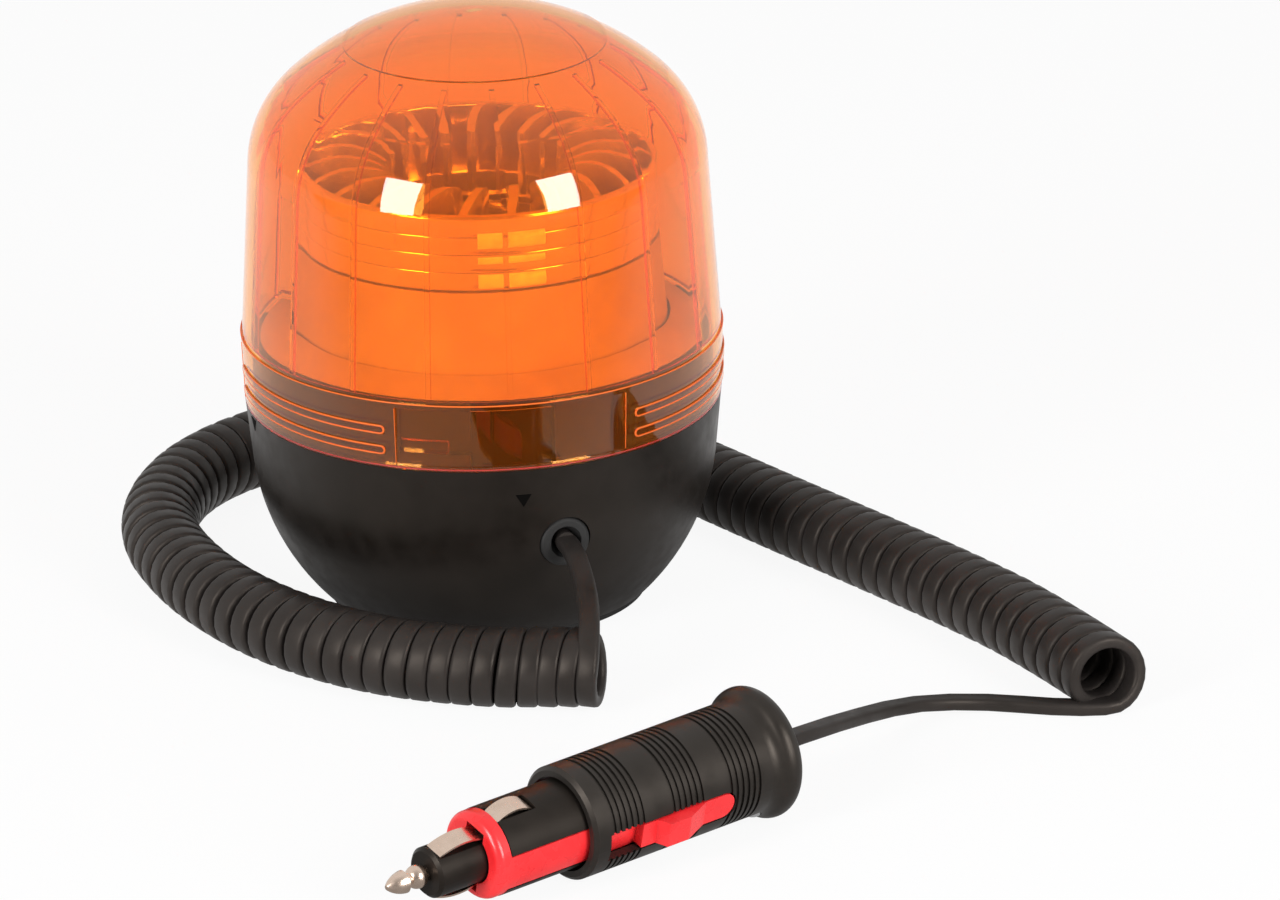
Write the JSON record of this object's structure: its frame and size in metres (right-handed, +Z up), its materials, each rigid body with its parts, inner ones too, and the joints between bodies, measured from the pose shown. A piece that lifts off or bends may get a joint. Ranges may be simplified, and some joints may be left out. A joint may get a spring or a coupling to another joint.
{
  "type": "warning light",
  "caption": "Rotating amber warning light: ribbed dome on a black bowl with a magnetic foot, a vaned rotor inside, a curly cord and a vehicle power plug.",
  "frame": {"origin": "centre of the foot's underside, on the ground and on the lamp's axis", "axes": "+Z up along the lamp's axis, the cord leaves the bowl towards -Y"},
  "size_m": [0.2096, 0.2964, 0.1461],
  "materials": {
    "amber_lens": "polished transparent polycarbonate",
    "black_plastic": "satin",
    "black_rubber": "matt",
    "cord_sheath": "satin",
    "bright_steel": "zinc plated",
    "motor_can": "plated",
    "ferrite": "matt sintered",
    "grey_plastic": "moulded",
    "white_plastic": "moulded satin",
    "gear_nylon": "moulded",
    "metallised_plastic": "vacuum metallised",
    "brass_sheet": "drawn sheet",
    "insulator": "laminate",
    "bulb_glass": "clear",
    "tungsten": "drawn wire",
    "board_laminate": "solder mask",
    "wire_sheath": "smooth",
    "red_plastic": "moulded",
    "nickel_contact": "nickel plated"
  },
  "bodies": {
    "base": {"base_housing": "black_plastic", "plug_core": "black_plastic", "plug_upper_shell": "black_plastic", "plug_lower_shell": "black_plastic", "dome_seal": "black_rubber", "rubber_foot": "black_rubber", "cord_grommet": "black_rubber", "supply_tail": "cord_sheath", "cord_tail": "cord_sheath", "cord_curl": "cord_sheath", "cord_lead": "cord_sheath", "magnet_cup": "bright_steel", "magnet_bolt": "bright_steel", "magnet_nut": "bright_steel", "chassis_screws": "bright_steel", "motor_screws": "bright_steel", "idler_pin": "bright_steel", "thrust_washer": "bright_steel", "retaining_ring": "bright_steel", "plug_screws": "bright_steel", "motor_body": "motor_can", "ring_magnet": "ferrite", "chassis_plate": "grey_plastic", "lamp_post": "grey_plastic", "drive_cover": "white_plastic", "bulb_socket": "brass_sheet", "bulb_cap": "brass_sheet", "lamp_contact": "brass_sheet", "socket_insulator": "insulator", "bulb_glass": "bulb_glass", "bulb_filament": "tungsten", "circuit_board": "board_laminate", "lamp_wires": "wire_sheath", "motor_wires": "wire_sheath", "nose_contacts": "nickel_contact", "barrel_contacts": "nickel_contact", "tip_contact": "nickel_contact"},
    "dome": {"lens_dome": "amber_lens"},
    "rotor": {"vane_wheel": "metallised_plastic", "rotor_hub": "white_plastic", "rotor_gear": "gear_nylon"},
    "idler": {"idler_gear": "gear_nylon"},
    "motor_rotor": {"motor_shaft": "bright_steel", "motor_pinion": "gear_nylon"},
    "adapter": {"adapter_slide": "red_plastic"}
  },
  "joints": [
    {"name": "dome_twist", "type": "hinge", "parent": "base", "child": "dome", "pos_m": [0, 0, 0.05], "axis": [0, 0, 1], "range_deg": [0, 22]},
    {"name": "rotor_spin", "type": "hinge", "parent": "base", "child": "rotor", "pos_m": [0, 0, 0.062], "axis": [0, 0, 1], "continuous": true},
    {"name": "idler_spin", "type": "hinge", "parent": "base", "child": "idler", "pos_m": [0, 0.0301, 0.0535], "axis": [0, 0, 1], "continuous": true},
    {"name": "motor_spin", "type": "hinge", "parent": "base", "child": "motor_rotor", "pos_m": [0.01622, 0.02536, 0.053], "axis": [0, 0, 1], "continuous": true},
    {"name": "adapter_travel", "type": "slide", "parent": "base", "child": "adapter", "axis": [-0.9522, -0.303, -0.0394], "range_m": [0, 0.009]}
  ],
  "couplings": [
    {"joint": "idler_spin", "follows": "rotor_spin", "ratio": -4},
    {"joint": "motor_spin", "follows": "rotor_spin", "ratio": 12}
  ]
}
